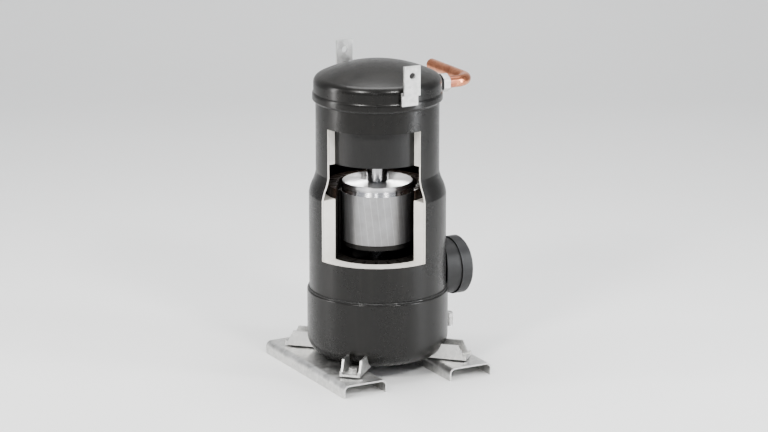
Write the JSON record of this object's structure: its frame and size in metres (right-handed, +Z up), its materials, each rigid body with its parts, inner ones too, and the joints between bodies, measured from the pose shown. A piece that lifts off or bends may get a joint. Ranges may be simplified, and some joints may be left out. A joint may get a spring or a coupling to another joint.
{
  "type": "scroll compressor",
  "caption": "Hermetic scroll compressor with domed cap, display window showing the motor rotor, copper discharge tube, terminal box, foot brackets and base rails.",
  "frame": {"origin": "on the compressor axis, in the top face of the two base rails, the plane of their four outer holes", "axes": "+Z up along the shaft; X across the rails, towards the discharge fitting and terminal box; Y along the rails"},
  "size_m": [0.3621, 0.3441, 0.595],
  "materials": {
    "black_paint": "satin",
    "zinc": "zinc plated, satin",
    "steel_machined": "polished",
    "copper": "drawn copper",
    "winding": "varnished winding",
    "black_plastic": "moulded",
    "cast": "machined casting",
    "aluminium": "die cast",
    "bronze": "bearing bronze",
    "rubber": "moulded",
    "glass": "clear",
    "lamination": "stacked sheet"
  },
  "bodies": {
    "shell": {"lower_cup": "black_paint", "center_shell": "black_paint", "top_cap": "black_paint", "girth_weld_lower": "black_paint", "girth_weld_upper": "black_paint", "lifting_lug_front": "zinc", "lifting_lug_rear": "zinc", "lug_welds": "black_paint", "discharge_fitting": "black_paint", "discharge_nut": "zinc", "discharge_tube": "copper", "suction_fitting": "black_paint", "suction_tube": "copper", "terminal_box_base": "black_plastic", "terminal_block": "steel_machined", "terminal_pins": "steel_machined", "cable_gland": "black_plastic", "oil_valve_body": "zinc", "sight_glass_body": "zinc", "sight_glass_lens": "glass", "rail_left": "zinc", "rail_right": "zinc", "foot_bracket_rear_right": "zinc", "foot_bracket_rear_left": "zinc", "foot_bracket_front_left": "zinc", "foot_bracket_front_right": "zinc", "foot_grommets": "rubber", "foot_washers": "zinc", "foot_bolts": "zinc", "foot_nuts": "zinc", "stator_core": "lamination", "winding_upper": "winding", "winding_lower": "winding", "motor_leads": "black_plastic", "main_bearing_housing": "cast", "main_bearing_bush": "bronze", "lower_bearing_housing": "cast", "lower_bearing_bush": "bronze", "thrust_washer": "bronze", "fixed_scroll": "cast", "scroll_bolts": "steel_machined", "check_valve_cage": "steel_machined", "separator_plate": "steel_machined"},
    "crank": {"crankshaft": "steel_machined", "rotor_core": "steel_machined", "rotor_end_ring_upper": "aluminium", "rotor_end_ring_lower": "aluminium", "counterweight_upper": "steel_machined", "counterweight_lower": "cast", "drive_bush": "bronze", "oil_pickup": "steel_machined"},
    "moving_scroll": {"orbiting_scroll": "cast", "orbiting_bearing": "bronze"},
    "oldham_carrier": {"oldham_ring": "aluminium"},
    "oldham_slider": {"oldham_keys": "aluminium"},
    "check_valve": {"check_valve_disc": "steel_machined"},
    "seal": {"floating_seal": "steel_machined"},
    "box_cover": {"terminal_box_cover": "black_plastic"},
    "valve_cap": {"oil_valve_cap": "zinc"}
  },
  "joints": [
    {"name": "shaft_spin", "type": "hinge", "parent": "shell", "child": "crank", "pos_m": [0, 0, 0.3], "axis": [0, 0, 1], "continuous": true},
    {"name": "scroll_orbit", "type": "hinge", "parent": "crank", "child": "moving_scroll", "pos_m": [0.0054, 0, 0.43], "axis": [0, 0, 1], "continuous": true},
    {"name": "oldham_carry", "type": "hinge", "parent": "crank", "child": "oldham_carrier", "pos_m": [0.0027, 0, 0.43], "axis": [0, 0, 1], "continuous": true},
    {"name": "oldham_slide", "type": "hinge", "parent": "oldham_carrier", "child": "oldham_slider", "pos_m": [0.0054, 0, 0.43], "axis": [0, 0, 1], "continuous": true},
    {"name": "check_valve_lift", "type": "slide", "parent": "shell", "child": "check_valve", "axis": [0, 0, 1], "range_m": [0, 0.0045]},
    {"name": "seal_lift", "type": "slide", "parent": "shell", "child": "seal", "axis": [0, 0, 1], "range_m": [0, 0.0011]},
    {"name": "cover_pull", "type": "slide", "parent": "shell", "child": "box_cover", "axis": [1, 0, 0], "range_m": [0, 0.06]},
    {"name": "valve_cap_turn", "type": "hinge", "parent": "shell", "child": "valve_cap", "pos_m": [0.152, 0, 0.05], "axis": [0, 0, 1], "range_deg": [0, 1080]}
  ],
  "couplings": [
    {"joint": "scroll_orbit", "follows": "shaft_spin", "ratio": -1},
    {"joint": "oldham_carry", "follows": "shaft_spin", "ratio": -2},
    {"joint": "oldham_slide", "follows": "shaft_spin", "ratio": 1}
  ]
}
